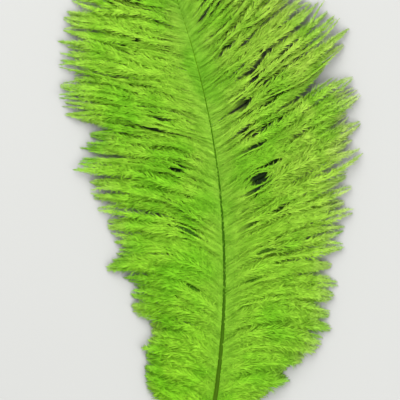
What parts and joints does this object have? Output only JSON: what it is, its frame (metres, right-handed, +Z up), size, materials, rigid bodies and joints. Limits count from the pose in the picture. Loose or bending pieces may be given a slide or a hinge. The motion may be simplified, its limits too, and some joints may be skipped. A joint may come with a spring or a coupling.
{
  "type": "ostrich plume feather",
  "caption": "Loose dyed ostrich plume lying face up: a curved tapering shaft with a bare quill end and wide drooping vanes of fluffy lime-green barbs.",
  "frame": {"origin": "centre of the feather's footprint, on the surface that it lies on", "axes": "+Y from the quill towards the tip, along the feather's length; +Z up, away from the surface; the shaft bends towards -X"},
  "size_m": [0.1686, 0.3618, 0.0223],
  "materials": {
    "plume": "matt dyed barbs",
    "shaft": "satin dyed horn-like shaft"
  },
  "bodies": {
    "root": {"feather": "plume"}
  },
  "joints": []
}
